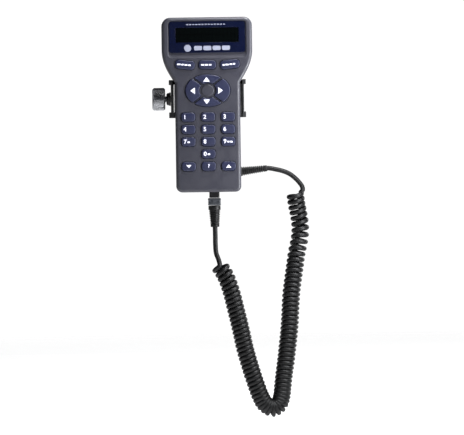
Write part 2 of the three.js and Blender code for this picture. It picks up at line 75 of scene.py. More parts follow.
# camera and stage
VIEW_AZIMUTH = radians(-1.5)
VIEW_ELEVATION = radians(1)
VIEW_ROLL = radians(-0.8)
VIEW_DISTANCE = 4.5
SENSOR = 36
IMAGE_SIZE = (464, 435)
FRAME_FILL = 0.92
FLOOR_DROP = 16 * MM
FLOOR_RADIUS = 3
BACKDROP_STRENGTH = 1.05
HORIZON_GLOW = (0.17, 0.175, 0.195, 1)
OVERHEAD_GLOW = (0.02, 0.02, 0.022, 1)
# place, target, width, height, power and colour of each lamp
LAMPS = {
    "key_light": ((0.45, -0.62, 0.95), (0.01, -0.03, 0.02), 0.5, 0.5, 3, (1, 0.99, 0.97)),
    "top_light": ((0.14, -0.12, 0.42), (0.02, -0.02, 0.03), 0.14, 0.14, 5.4, (0.97, 0.98, 1)),
    "side_light": ((0.2, -0.15, -0.04), (0.03, -0.03, -0.03), 0.05, 0.3, 1.8, (0.95, 0.97, 1)),
    "fill_light": ((-1.1, -1.2, 0.1), (0, 0, -0.1), 1, 1, 2.6, (0.9, 0.94, 1)),
    "back_light": ((1.1, 1.2, 0.4), (0.02, 0, -0.1), 1, 1, 14, (1, 1, 1)),
}

# handset casing
SHOULDER_TOP = 46 * MM
SHOULDER_END = 15 * MM
SHOULDER_OUT = 2.2 * MM
SHOULDER_UP = 4.5 * MM
SHOULDER_DOWN = 15 * MM
TOP_CORNER = 8 * MM
BOTTOM_CORNER = 5.5 * MM
BODY_HALF = 30.6 * MM
FACE_Y = -33 * MM
EDGE_ROUND = 3 * MM
WALL = 2.2 * MM
FRONT_WALL = 2.6 * MM
SEAM_CHAMFER = 0.3 * MM
GAP = 0.3 * MM
RECESS_DEPTH = 1.6 * MM
LIP_LENGTH = 4.7 * MM
POST_RADIUS = 4.2 * MM
WELL_RADIUS = 3.2 * MM
BORE_RADIUS = 1.6 * MM
LABEL_HALF = (22 * MM, 11 * MM)
LABEL_Z = -44 * MM
GRIP_ROWS = 7
GRIP_PITCH = 2.6 * MM
GRIP_TOP = -61.8 * MM
GRIP_X = 16 * MM
GRIP_HALF = (5.2 * MM, 0.6 * MM)

# plain marks on the display panel: how many bars, the first one's middle, their pitch and their size
LINE_BARS = (13, -18.5 * MM, 2.9 * MM, 2 * MM, 1 * MM)
LINE_BELOW_TOP = 2.8 * MM
MARK_BARS = (4, -8.6 * MM, 8.8 * MM, 7.6 * MM, 4.2 * MM)
MARK_ABOVE_BOTTOM = 4.4 * MM
DISC_X = -18.4 * MM
DISC_RADIUS = 3.3 * MM

# keys
KEY_CORNER = 3.2 * MM
FUNCTION_CORNER = 3.6 * MM
FUNCTION_TILT = radians(6)
FUNCTION_HALF = (9.3 * MM, 4.2 * MM)
LIP_ROUND = 0.35 * MM
KEY_ROUND = 0.8 * MM
KEY_CROWN = 0.25 * MM
KEY_FLANGE = 0.65 * MM
FLANGE_THICKNESS = 1 * MM
RING_OUTER = (21.3 * MM, 15.2 * MM)
RING_INNER = (8 * MM, 7.2 * MM)
RING_Z = 7.5 * MM
RING_SIDE_ANGLE = radians(47)
RING_CAP_ANGLE = radians(37)
RING_INNER_TRIM = radians(4)
RING_KEY_CORNER = 0.9 * MM
RING_BOSS = (5.8 * MM, 5.4 * MM)
BOSS_HEIGHT = 0.9 * MM
BOSS_ROUND = 0.14  # how much narrower its top is
BOSS_SINK = 0.4 * MM

# printing on the keys
LEGEND_PROUD = 0.05 * MM
LEGEND_DEPTH = 0.5 * MM
ARROW_PLACE = (13.2 * MM, 10.6 * MM)  # from the middle of the ring: sideways, and up or down
ARROW_SHIFT = -1.1 * MM
ARROW_SIZE = (3.1 * MM, 4.3 * MM)  # half the width, and the height
SCROLL_SIZE = (2.5 * MM, 3 * MM)
HELP_SIZE = 5 * MM
DIGIT_SIZE = 5.6 * MM
DIGIT_SHIFT = -3.2 * MM
FUNCTION_BAR_HEIGHT = 1.4 * MM
SECOND_BAR_HEIGHT = 1.5 * MM
# bars that stand for words: gaps and widths are in millimetres, and a row's tilt comes first
FUNCTION_BAR_GAP = 0.7
SECOND_BAR_GAP = 0.6
FUNCTION_BARS = {
    "key_enter": (-FUNCTION_TILT, (3.4, 2.2, 2.9, 2.4)),
    "key_mode": (0, (2.8, 3, 2.6)),
    "key_go": (FUNCTION_TILT, (2.2, 3.2, 2.6, 2)),
}
SECOND_BARS = {"7": (2.4,), "9": (2, 2.4), "0": (2.4,)}

# cord
WIRE_RADIUS = 2.3 * MM
HELIX_RADIUS = 6.35 * MM
POINTS_PER_TURN = 18
CORD_SIDES = 12
END_PHASE = 0.25  # in turns: the coil ends at its right side, where the second lead leaves it

# The straight leads and the coil's middle line, as in the CAD part, in millimetres.
HANDSET_LEAD = [
    (5.5, -16.9, -121.9), (5.6, -16.9, -130), (5.6, -16.9, -138), (6.2, -17.6, -146.5),
    (8.6, -20.6, -153.6),
]
COIL_ROUTE = [
    (9.2, -16.9, -158.8), (14.4, -16.9, -167.5), (18.4, -16.9, -177.7), (21.3, -16.8, -187.9),
    (23.7, -16.7, -198.1), (26.7, -16.5, -210.8), (29.5, -16.2, -223.6), (32.1, -15.8, -236.3),
    (35.5, -15.3, -249.1), (39.2, -14.6, -261.8), (43.4, -13.8, -274.6), (47, -12.9, -284.4),
    (51.8, -11.8, -291.8), (57.8, -10.6, -294.8), (63.5, -9.4, -292.2), (66.7, -8, -285),
    (68, -6.6, -274.9), (69.6, -5, -262.2), (71.6, -3.4, -249.5), (73.2, -1.8, -236.9),
    (74.8, -0.2, -224.2), (76, 1.4, -211.5), (76.8, 3, -198.8), (77.8, 4.6, -186.1),
    (79.6, 6.2, -173.4), (81.6, 7.8, -160.8), (83.6, 9.4, -148.1), (85.8, 10.8, -138.6),
    (87.3, 12, -129.6), (87.3, 12.4, -119.5), (85.8, 11.6, -109.5), (84.2, 10.2, -101.5),
    (82.9, 8.2, -91.2),
]
HOST_LEAD = [
    (90.2, 10.8, -88.3), (89.8, 12.2, -84.8), (87.2, 13.2, -80.9), (83.2, 13.7, -76.6),
    (78, 13.9, -72.6), (72.2, 14, -70), (65.3, 14, -68.2), (57.4, 14, -66.85),
]
# How far apart the turns lie: distance along the coil and pitch, in millimetres.
COIL_PITCH = [
    (0, 5.6), (18, 5), (36, 4.4), (60, 4.2), (122, 4.2), (138, 3.1), (160, 3.1), (176, 4.2), (240, 4.4),
    (290, 4.9), (308, 6.2), (328, 6.6), (342, 5.2), (362, 5),
]
HANDSET_BOOT_AXIS = (0.012, 0, -1)
HANDSET_BOOT = (5.8 * MM, 4.2 * MM)  # radius at the plug and at the lead
HOST_BOOT_AXIS = (1, 0, 0.11)
HOST_BOOT = (4.5 * MM, 3 * MM)
HOST_BOOT_LENGTH = 28 * MM
BOOT_COLLAR = 4.2 * MM
BOOT_TIP = 2.4 * MM
BOOT_GROOVE = 0.75 * MM

# clamp knob
KNURL_RIDGES = 54
KNURL_DEPTH = 0.55  # in millimetres

# ---------------- node trees


def srgb(red, green, blue):
    """A colour given as 0 to 255 screen values, as linear light."""
    return tuple((value / 255) ** 2.2 for value in (red, green, blue)) + (1.0,)


def shade(colour, factor):
    return tuple(min(1.0, value * factor) for value in colour[:3]) + (1.0,)


def new_object(name, data):
    made = bpy.data.objects.new(name, data)
    bpy.context.scene.collection.objects.link(made)
    return made


class Nodes:
    """Short names for putting a node tree together."""

    def __init__(self, tree):
        self.tree = tree

    def add(self, kind, inputs=None, **settings):
        """A new node with its settings, and a value or a link for each of the inputs given."""
        node = self.tree.nodes.new(kind)
        for key, value in settings.items():
            setattr(node, key, value)
        self.fill(node, inputs or {})
        return node

    def fill(self, node, inputs):
        for socket, value in inputs.items():
            if isinstance(value, bpy.types.NodeSocket):
                self.tree.links.new(value, node.inputs[socket])
            else:
                node.inputs[socket].default_value = value


class Surface(Nodes):
    """A material, and the patterns that materials share."""

    def __init__(self, name):
        self.material = bpy.data.materials.new(name)
        self.material.use_nodes = True
        super().__init__(self.material.node_tree)
        self.place = self.add("ShaderNodeTexCoord").outputs["Object"]

    def finished(self, inputs):
        self.fill(self.tree.nodes["Principled BSDF"], inputs)
        return self.material

    def noise(self, size, detail=3.0, vector=None):
        """Noise whose patches are about that size, in metres."""
        inputs = {"Scale": 1 / size, "Detail": detail, "Roughness": 0.55, "Vector": vector or self.place}
        return self.add("ShaderNodeTexNoise", inputs).outputs["Fac"]

    def texture(self, kind, scale, **settings):
        """The outputs of a texture laid over the object."""
        return self.add(kind, {"Vector": self.place, "Scale": scale}, **settings).outputs

    def span(self, value, low, high, start=0.0, end=1.0):
        """The value, carried from the range start..end to low..high."""
        inputs = {"Value": value, "From Min": start, "From Max": end, "To Min": low, "To Max": high}
        return self.add("ShaderNodeMapRange", inputs).outputs["Result"]

    def maths(self, operation, first, second):
        return self.add("ShaderNodeMath", {0: first, 1: second}, operation=operation).outputs[0]

    def mixed(self, amount, first, second):
        """Two colours, mixed by an amount from 0 to 1."""
        return self.add("ShaderNodeMix", {0: amount, 6: first, 7: second}, data_type="RGBA").outputs[2]

    def edges(self, width):
        """1 along the piece's convex edges, 0 on its faces."""
        bevel = self.add("ShaderNodeBevel", {"Radius": width}, samples=4)
        geometry = self.add("ShaderNodeNewGeometry")
        normals = {0: bevel.outputs["Normal"], 1: geometry.outputs["Normal"]}
        product = self.add("ShaderNodeVectorMath", normals, operation="DOT_PRODUCT")
        return self.span(product.outputs["Value"], 1, 0, 0.8, 0.995)

    def bump(self, height, distance, strength=1.0):
        inputs = {"Height": height, "Distance": distance, "Strength": strength}
        return self.add("ShaderNodeBump", inputs).outputs["Normal"]


# ---------------- camera and light


def make_camera(target):
    back = Vector((
        sin(VIEW_AZIMUTH) * cos(VIEW_ELEVATION),
        -cos(VIEW_AZIMUTH) * cos(VIEW_ELEVATION),
        sin(VIEW_ELEVATION),
    ))
    data = bpy.data.cameras.new("camera")
    data.sensor_width = SENSOR
    shown_height = (cad_high.z - cad_low.z) / FRAME_FILL
    data.lens = SENSOR * IMAGE_SIZE[1] / IMAGE_SIZE[0] * VIEW_DISTANCE / shown_height
    data.clip_start = 0.1
    data.clip_end = 50
    camera = new_object("camera", data)
    camera.rotation_mode = "QUATERNION"
    camera.location = target + back * VIEW_DISTANCE
    camera.rotation_quaternion = (-back).to_track_quat("-Z", "Y") @ Quaternion((0, 0, 1), VIEW_ROLL)
    bpy.context.scene.camera = camera


def softbox(name, place, target, width, height, power, colour):
    data = bpy.data.lights.new(name, "AREA")
    data.shape = "RECTANGLE"
    data.size = width
    data.size_y = height
    data.energy = power
    data.color = colour
    lamp = new_object(name, data)
    lamp.location = place
    lamp.rotation_euler = (Vector(target) - Vector(place)).to_track_quat("-Z", "Y").to_euler()


def make_world():
    """White behind the object; the light itself is pale at the horizon and dim overhead."""
    world = bpy.data.worlds.new("studio")
    bpy.context.scene.world = world
    world.use_nodes = True
    world.node_tree.nodes.clear()
    nodes = Nodes(world.node_tree)
    place = nodes.add("ShaderNodeTexCoord").outputs["Generated"]
    height = nodes.add("ShaderNodeSeparateXYZ", {"Vector": place}).outputs["Z"]
    share = nodes.add("ShaderNodeMapRange", {"Value": height, "From Min": -1}).outputs["Result"]
    ramp = nodes.add("ShaderNodeValToRGB", {"Fac": share})
    horizon, overhead = ramp.color_ramp.elements
    horizon.position = 0.5
    horizon.color = HORIZON_GLOW
    overhead.position = 0.78
    overhead.color = OVERHEAD_GLOW
    glow = nodes.add("ShaderNodeBackground", {"Color": ramp.outputs["Color"], "Strength": 1})
    seen = nodes.add("ShaderNodeBackground", {"Color": (1, 1, 1, 1), "Strength": BACKDROP_STRENGTH})
    camera_ray = nodes.add("ShaderNodeLightPath").outputs["Is Camera Ray"]
    mix = nodes.add("ShaderNodeMixShader", {0: camera_ray, 1: glow.outputs[0], 2: seen.outputs[0]})
    nodes.add("ShaderNodeOutputWorld", {"Surface": mix.outputs[0]})
    bpy.context.scene.view_settings.view_transform = "Standard"


middle = (cad_low + cad_high) / 2
make_camera(middle)
make_world()
for lamp_name, lamp_values in LAMPS.items():
    softbox(lamp_name, *lamp_values)

# ---------------- outlines, as (x, z) pairs


def measured(node):
    """The middle and the size of a CAD node's box."""
    low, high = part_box(node)
    return (low + high) / 2, high - low


def arc(x, z, radius_x, radius_z, start, end, steps):
    turns = [start + (end - start) * step / steps for step in range(steps + 1)]
    return [(x + radius_x * cos(turn), z + radius_z * sin(turn)) for turn in turns]


def circle(x, z, radius, sides=32):
    return arc(x, z, radius, radius, 0, 2 * pi, sides)[:-1]


def rounded_box(half_width, half_height, corner, x=0.0, z=0.0, tilt=0.0, steps=8):
    points = []
    for side_x, side_z, start in ((1, -1, -pi / 2), (1, 1, 0), (-1, 1, pi / 2), (-1, -1, pi)):
        centre = (side_x * (half_width - corner), side_z * (half_height - corner))
        points += arc(*centre, corner, corner, start, start + pi / 2, steps)
    return placed(points, x, z, tilt)


def placed(points, x, z, turn):
    return [(x + a * cos(turn) - b * sin(turn), z + a * sin(turn) + b * cos(turn)) for a, b in points]


def box_outline(node, corner, margin=0.0, upright=2):
    """The outline of a CAD node's box, seen from the front, or from above where upright is 1."""
    centre, size = measured(node)
    halves = (size.x / 2 + margin, size[upright] / 2 + margin)
    return rounded_box(*halves, corner, centre.x, centre[upright])


def neighbours(outline):
    """Each point of the outline, between the one before it and the one after it."""
    return list(zip(outline[-1:] + outline[:-1], outline, outline[1:] + outline[:1]))


def grown(outline, distance):
    """The outline moved outwards, or inwards by a negative distance."""
    moved = []
    for before, point, after in neighbours(outline):
        first = Vector((point[0] - before[0], point[1] - before[1])).normalized()
        second = Vector((after[0] - point[0], after[1] - point[1])).normalized()
        along = (first + second).normalized()
        reach = distance / max(0.5, along.dot(second))
        moved.append((point[0] + along.y * reach, point[1] - along.x * reach))
    return moved


def softened(outline, radius):
    """The outline with its sharp corners rounded off."""
    corners = []
    for before, point, after in neighbours(outline):
        bend = pi - (Vector(before) - Vector(point)).angle(Vector(after) - Vector(point))
        if bend > radians(40):
            corners.append(point)
    points = []
    for before, point, after in neighbours(outline):
        corner = Vector(point)
        if point in corners:
            start, end = (
                corner + (Vector(side) - corner).normalized() * radius for side in (before, after)
            )
            for part in (0, 0.25, 0.5, 0.75, 1):
                bent = start * (1 - part) ** 2 + corner * 2 * part * (1 - part) + end * part ** 2
                points.append(tuple(bent))
        elif all((Vector(other) - corner).length > 1.2 * radius for other in corners):
            points.append(point)
    return points


def bezier(points, steps):
    a, b, c, d = (Vector(point) for point in points)
    curve = []
    for step in range(1, steps + 1):
        t = step / steps
        u = 1 - t
        curve.append(tuple(a * u ** 3 + b * 3 * t * u ** 2 + c * 3 * t ** 2 * u + d * t ** 3))
    return curve


def quarter_round(radius, steps):
    """How far in and how far down each step of a rounded edge lies, from its side to its top."""
    angles = [pi / 2 * step / steps for step in range(steps + 1)]
    return [(radius * (1 - cos(angle)), radius * (1 - sin(angle))) for angle in angles]


def casing_outline():
    low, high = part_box("front_casing")
    head = high.x
    corner = BOTTOM_CORNER
    right = arc(BODY_HALF - corner, low.z + corner, corner, corner, -pi / 2, 0, 10)
    right.append((BODY_HALF, SHOULDER_END))
    right += bezier((
        (BODY_HALF, SHOULDER_END), (BODY_HALF + SHOULDER_OUT, SHOULDER_END + SHOULDER_UP),
        (head, SHOULDER_TOP - SHOULDER_DOWN), (head, SHOULDER_TOP),
    ), 20)
    right += arc(head - TOP_CORNER, high.z - TOP_CORNER, TOP_CORNER, TOP_CORNER, 0, pi / 2, 10)
    return right + [(-x, z) for x, z in reversed(right)]


def ring_quarter(middle_angle, half_angle):
    """One of the four keys of the oval arrow ring."""
    steps = 14
    outer = arc(0, RING_Z, *RING_OUTER, middle_angle - half_angle, middle_angle + half_angle, steps)
    trimmed = half_angle - RING_INNER_TRIM
    inner = arc(0, RING_Z, *RING_INNER, middle_angle + trimmed, middle_angle - trimmed, steps)
    return softened(outer + inner, RING_KEY_CORNER)


def tilted_cap(node, tilt):
    centre, _ = measured(node)
    return rounded_box(*FUNCTION_HALF, FUNCTION_CORNER, centre.x, centre.z, tilt)


# A key's node is as wide as the flange round its cap.
key_outlines = {
    "key_enter": tilted_cap("key_enter", -FUNCTION_TILT),
    "key_mode": box_outline("key_mode", FUNCTION_CORNER, -KEY_FLANGE),
    "key_go": tilted_cap("key_go", FUNCTION_TILT),
    "key_arrow_right": ring_quarter(0, RING_SIDE_ANGLE),
    "key_arrow_up": ring_quarter(pi / 2, RING_CAP_ANGLE),
    "key_arrow_left": ring_quarter(pi, RING_SIDE_ANGLE),
    "key_arrow_down": ring_quarter(3 * pi / 2, RING_CAP_ANGLE),
}
for key_name in (*range(10), "scroll_down", "help", "scroll_up"):
    key_outlines[f"key_{key_name}"] = box_outline(f"key_{key_name}", KEY_CORNER, -KEY_FLANGE)

# ---------------- materials


def moulded(
    name, colour, roughness, grain=0.35, relief=0.012, variation=0.1, wear=None, coat=0.0, specular=0.5,
):
    """Moulded plastic or rubber: a fine grain, slow changes of colour and gloss, and rubbed edges.

    The grain's size and its relief are in millimetres.
    """
    nodes = Surface(name)
    patches = nodes.noise(22 * MM, 4)
    base = nodes.mixed(patches, shade(colour, 1 - variation), shade(colour, 1 + variation))
    if wear:
        worn = nodes.span(nodes.noise(3 * MM, 4), 0, 0.8, 0.4, 0.65)
        base = nodes.mixed(nodes.maths("MULTIPLY", nodes.edges(0.5 * MM), worn), base, wear)
    return nodes.finished({
        "Base Color": base,
        "Roughness": nodes.span(nodes.noise(6 * MM, 5), roughness - 0.07, roughness + 0.07, 0.3, 0.7),
        "Specular IOR Level": specular,
        "Coat Weight": coat,
        "Coat Roughness": 0.08,
        "Normal": nodes.bump(nodes.noise(grain * MM, 2), relief * MM),
    })


def metal(name, colour, roughness, brushed=(1, 1, 1), dirt=0.25):
    """Bare or plated metal with fine brushing, smears and darker, older patches."""
    nodes = Surface(name)
    stretched = nodes.add("ShaderNodeMapping", {"Vector": nodes.place, "Scale": brushed})
    lines = nodes.noise(0.5 * MM, 2, stretched.outputs["Vector"])
    smears = nodes.noise(5 * MM, 5)
    aged = nodes.span(smears, 0, dirt, 0.45, 0.75)
    gloss = nodes.span(smears, roughness - 0.05, roughness + 0.1)
    return nodes.finished({
        "Base Color": nodes.mixed(aged, colour, shade(colour, 0.45)),
        "Metallic": 1,
        "Roughness": nodes.maths("ADD", gloss, nodes.span(lines, -0.03, 0.05)),
        "Normal": nodes.bump(lines, 0.004 * MM),
    })


def crackle_paint(name, colour, roughness):
    """Textured paint over a casting: small raised grains, and bright metal at the worn edges."""
    nodes = Surface(name)
    grains = nodes.texture("ShaderNodeTexVoronoi", 1 / (0.9 * MM), feature="SMOOTH_F1")["Distance"]
    patches = nodes.noise(14 * MM, 4)
    base = nodes.mixed(patches, shade(colour, 0.8), shade(colour, 1.25))
    rubbed = nodes.span(nodes.noise(2 * MM, 5), 0, 1, 0.52, 0.62)
    worn = nodes.maths("MULTIPLY", nodes.edges(0.7 * MM), rubbed)
    return nodes.finished({
        "Base Color": nodes.mixed(worn, base, srgb(120, 118, 114)),
        "Metallic": nodes.maths("MULTIPLY", worn, 0.8),
        "Roughness": nodes.span(patches, roughness - 0.08, roughness + 0.1),
        "Normal": nodes.bump(grains, 0.05 * MM, 0.7),
    })


def display_glass(name):
    """Near-black glass over a display that is switched off: two rows of faint character cells."""
    nodes = Surface(name)
    _, size = measured("display_window")
    upright = nodes.add("ShaderNodeMapping", {
        "Vector": nodes.place, "Location": (1.5 * MM, 0.3 * MM, 0), "Rotation": (radians(-90), 0, 0),
    })
    cells = nodes.add("ShaderNodeTexBrick", {
        "Vector": upright.outputs["Vector"],
        "Scale": 1,
        "Brick Width": size.x / 17,
        "Row Height": size.z / 2.2,
        "Mortar Size": 0.25 * MM,
        "Mortar Smooth": 0.2,
    }, offset=0)
    dark = nodes.mixed(nodes.noise(12 * MM, 3), srgb(2, 3, 3), srgb(4, 5, 6))
    return nodes.finished({
        "Base Color": nodes.mixed(cells.outputs["Fac"], srgb(8, 11, 11), dark),
        "Roughness": nodes.span(nodes.noise(4 * MM, 5), 0.06, 0.16),
        "Specular IOR Level": 0.1,
        "Coat Weight": 0.02,
        "Coat Roughness": 0.03,
        "Normal": nodes.bump(nodes.noise(9 * MM, 1), 0.004 * MM),
    })


def red_lens(name):
    """Clear red plastic, ribbed inside so that the lamp behind it spreads."""
    nodes = Surface(name)
    ribs = nodes.texture("ShaderNodeTexWave", 0.35 / MM, bands_direction="X")["Fac"]
    return nodes.finished({
        "Base Color": nodes.mixed(ribs, srgb(120, 14, 12), srgb(168, 26, 20)),
        "Roughness": nodes.span(nodes.noise(3 * MM, 4), 0.1, 0.22),
        "Transmission Weight": 0.35,
        "Normal": nodes.bump(ribs, 0.02 * MM),
    })


def circuit_board(name):
    """Green solder mask with traces and pads under it."""
    nodes = Surface(name)
    shape = {"distance": "CHEBYCHEV", "feature": "DISTANCE_TO_EDGE"}
    traces = nodes.texture("ShaderNodeTexVoronoi", 1 / (4 * MM), **shape)["Distance"]
    edge = nodes.span(traces, 1, 0, 0.04, 0.07)
    return nodes.finished({
        "Base Color": nodes.mixed(edge, srgb(18, 74, 44), srgb(44, 110, 66)),
        "Roughness": nodes.span(nodes.noise(2 * MM), 0.3, 0.45),
        "Normal": nodes.bump(edge, 0.03 * MM),
    })


casing_plastic = moulded("casing_plastic", srgb(41, 41, 49), 0.48, wear=srgb(80, 80, 88))
panel_plastic = moulded(
    "panel_plastic", srgb(11, 16, 35), 0.2, grain=3, relief=0.004, coat=0.08, specular=0.25,
)
key_rubber = moulded("key_rubber", srgb(23, 27, 51), 0.5, grain=0.3, wear=srgb(50, 54, 80), specular=0.4)
mat_rubber = moulded("mat_rubber", srgb(52, 55, 76), 0.75)
jack_plastic = moulded("jack_plastic", srgb(12, 12, 14), 0.5, wear=srgb(34, 34, 36), specular=0.3)
hood_plastic = moulded("hood_plastic", srgb(50, 52, 56), 0.33, relief=0.006, wear=srgb(92, 94, 98))
cord_jacket = moulded(
    "cord_jacket", srgb(7, 7, 8), 0.5, grain=0.6, relief=0.01, variation=0.2, specular=0.22,
)
pad_rubber = moulded("pad_rubber", srgb(24, 24, 26), 0.85, grain=0.8, relief=0.04)
chip_epoxy = moulded("chip_epoxy", srgb(24, 24, 27), 0.5)
legend_ink = moulded("legend_ink", srgb(214, 214, 228), 0.55, variation=0.04)
panel_ink = moulded("panel_ink", srgb(122, 125, 140), 0.55, variation=0.04)
holder_paint = crackle_paint("holder_paint", srgb(26, 26, 28), 0.5)
plate_nickel = metal("plate_nickel", srgb(250, 249, 246), 0.45, brushed=(1, 1, 0.03), dirt=0.08)
knob_chrome = metal("knob_chrome", srgb(151, 152, 155), 0.22, brushed=(0.05, 1, 1), dirt=0.15)
screw_steel = metal("screw_steel", srgb(150, 151, 155), 0.3)
tin_plate = metal("tin_plate", srgb(178, 180, 186), 0.3, brushed=(0.1, 1, 1))
window_glass = display_glass("window_glass")
lens_plastic = red_lens("lens_plastic")
board_mask = circuit_board("board_mask")

# ---------------- mesh building


def at_depth(outline, y):
    return [Vector((x, y, z)) for x, z in outline]


def prism(outline, front, back):
    return [at_depth(outline, front), at_depth(outline, back)]


def standing(outline, bottom, top):
    """A prism that stands along Z, from an outline in x and y."""
    return [[Vector((x, y, z)) for x, y in outline] for z in (bottom, top)]


def in_metres(rows):
    return [(radius * MM, along * MM) for radius, along in rows]


def vertex_loops(mesh, rings):
    return [[mesh.verts.new(point) for point in ring] for ring in rings]


def strip(mesh, first, second):
    """Quads between two loops of vertices."""
    corners = zip(first, second, second[1:] + second[:1], first[1:] + first[:1])
    return [mesh.faces.new(quad) for quad in corners]


def loft(mesh, rings, close=False, material=0):
    """Quads from ring to ring, with a flat face over each end unless the last ring meets the first."""
    loops = vertex_loops(mesh, rings)
    pairs = list(zip(loops, loops[1:]))
    faces = []
    if close:
        pairs.append((loops[-1], loops[0]))
    else:
        faces += [mesh.faces.new(loops[0]), mesh.faces.new(loops[-1][::-1])]
    for first, second in pairs:
        faces += strip(mesh, first, second)
    for face in faces:
        face.material_index = material


def lathed(mesh, rows, start, axis, sides, ridges=None, close=False):
    """Rows of (radius, distance along the axis), turned about the axis from its start.

    ridges(angle, row) gives a factor on the radius, for a knurl.
    """
    turn = Vector((0, 0, 1)).rotation_difference(Vector(axis).normalized())
    rings = []
    for row, (radius, along) in enumerate(rows):
        ring = []
        for side in range(sides):
            angle = 2 * pi * side / sides
            reach = radius * (ridges(angle, row) if ridges else 1)
            ring.append(Vector(start) + turn @ Vector((reach * cos(angle), reach * sin(angle), along)))
        rings.append(ring)
    loft(mesh, rings, close)


def finish_mesh(name, mesh, materials, smooth=radians(38)):
    """The bmesh as an object with outward faces, smooth between its sharp edges."""
    bmesh.ops.recalc_face_normals(mesh, faces=mesh.faces)
    data = bpy.data.meshes.new(name)
    mesh.to_mesh(data)
    mesh.free()
    piece = new_object(name, data)
    for material in materials:
        data.materials.append(material)
    soften(piece, smooth)
    return piece


def soften(piece, smooth=radians(38)):
    piece.data.shade_smooth()
    piece.data.set_sharp_from_angle(angle=smooth)
    weighted = piece.modifiers.new("weighted_normals", "WEIGHTED_NORMAL")
    weighted.keep_sharp = True


def settle(piece):
    """Applies the piece's modifiers to its mesh."""
    graph = bpy.context.evaluated_depsgraph_get()
    result = bpy.data.meshes.new_from_object(piece.evaluated_get(graph))
    piece.modifiers.clear()
    old = piece.data
    piece.data = result
    bpy.data.meshes.remove(old)


def combine(piece, tool, operation):
    """Cuts the tool's shape from the piece, or joins it on."""
    piece.modifiers.clear()
    boolean = piece.modifiers.new("boolean", "BOOLEAN")
    boolean.object = tool
    boolean.operation = operation
    boolean.solver = "EXACT"
    settle(piece)
    data = tool.data
    bpy.data.objects.remove(tool)
    bpy.data.meshes.remove(data)


def tool_from(*shapes):
    """One object made of several lofts that don't overlap, for cutting or joining."""
    mesh = bmesh.new()
    for rings in shapes:
        loft(mesh, rings)
    return finish_mesh("tool", mesh, [])


def cut(piece, *shapes):
    combine(piece, tool_from(*shapes), "DIFFERENCE")


def tidy_boolean(piece):
    """Merges what the cuts left too close together, and smooths the result again."""
    mesh = bmesh.new()
    mesh.from_mesh(piece.data)
    bmesh.ops.remove_doubles(mesh, verts=mesh.verts, dist=2e-6)
    mesh.to_mesh(piece.data)
    mesh.free()
    soften(piece)


def deliver(piece, body, slot, *nodes):
    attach(piece, body)
    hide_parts(*nodes)
    return piece


def refine(node, body, slot, material, bevel):
    """The CAD node's shape with its edges broken by a bevel."""
    mesh = bmesh.new()
    mesh.from_mesh(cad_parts[node].data)
    bmesh.ops.remove_doubles(mesh, verts=mesh.verts, dist=1e-6)
    bmesh.ops.dissolve_limit(mesh, angle_limit=radians(1), verts=mesh.verts, edges=mesh.edges)
    piece = finish_mesh(node + "_shell", mesh, [material])
    piece.modifiers.clear()
    rounding = piece.modifiers.new("bevel", "BEVEL")
    rounding.width = bevel
    rounding.segments = 3
    rounding.limit_method = "ANGLE"
    rounding.angle_limit = radians(35)
    settle(piece)
    soften(piece)
    deliver(piece, body, slot, node)


# ---------------- cord


def smooth_route(points, step):
    """Points about one step apart along a centripetal Catmull-Rom curve through the given ones."""
    points = [np.array(point, float) for point in points]
    knots = [2 * points[0] - points[1], *points, 2 * points[-1] - points[-2]]
    route = []
    for a, b, c, d in zip(knots, knots[1:], knots[2:], knots[3:]):
        before, here, after = (sqrt(np.linalg.norm(q - p)) for p, q in ((a, b), (b, c), (c, d)))
        leave = ((b - a) / before - (c - a) / (before + here) + (c - b) / here) * here
        arrive = ((c - b) / here - (d - b) / (here + after) + (d - c) / after) * here
        steps = max(1, round(float(np.linalg.norm(c - b)) / step))
        for t in np.arange(steps) / steps:
            route.append(
                (2 * t ** 3 - 3 * t ** 2 + 1) * b + (t ** 3 - 2 * t ** 2 + t) * leave
                + (3 * t ** 2 - 2 * t ** 3) * c + (t ** 3 - t ** 2) * arrive
            )
    route.append(points[-1])
    return np.array(route)


def distances_along(route):
    steps = np.linalg.norm(np.diff(route, axis=0), axis=1)
    return np.concatenate([[0], np.cumsum(steps)])


def carried_sides(route, first_side):
    """Two directions across the route at each point, carried along it without twist."""
    tangents = np.gradient(route, axis=0)
    tangents /= np.linalg.norm(tangents, axis=1)[:, None]
    side = np.array(first_side, float)
    sides = []
    for tangent in tangents:
        side = side - tangent * side.dot(tangent)
        side /= np.linalg.norm(side)
        sides.append(side)
    sides = np.array(sides)
    return sides, np.cross(tangents, sides)


def coil_points():
    """The helix round the coil's middle line, from its front to its right side."""
    axis = smooth_route([np.array(point) * MM for point in COIL_ROUTE], 0.4 * MM)
    along = distances_along(axis)
    sides, ups = carried_sides(axis, (0, -1, 0))
    marks, pitches = np.array(COIL_PITCH).T * MM
    pitch = np.interp(along, marks, pitches)
    turns = np.concatenate([[0], np.cumsum(np.diff(along) * (1 / pitch[1:] + 1 / pitch[:-1]) / 2)])
    whole = round(turns[-1]) + END_PHASE
    turns *= whole / turns[-1]
    points = []
    for turn in np.linspace(0, whole, round(whole * POINTS_PER_TURN)):
        place = np.interp(turn, turns, along)
        centre, side, up = (
            np.array([np.interp(place, along, column) for column in values.T])
            for values in (axis, sides, ups)
        )
        angle = 2 * pi * turn
        points.append(centre + HELIX_RADIUS * (side * cos(angle) + up * sin(angle)))
    return points


# The cord leaves the handset where its boot ends.
exit_point = (HANDSET_LEAD[0][0] * MM, HANDSET_LEAD[0][1] * MM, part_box("handset_boot")[0].z)


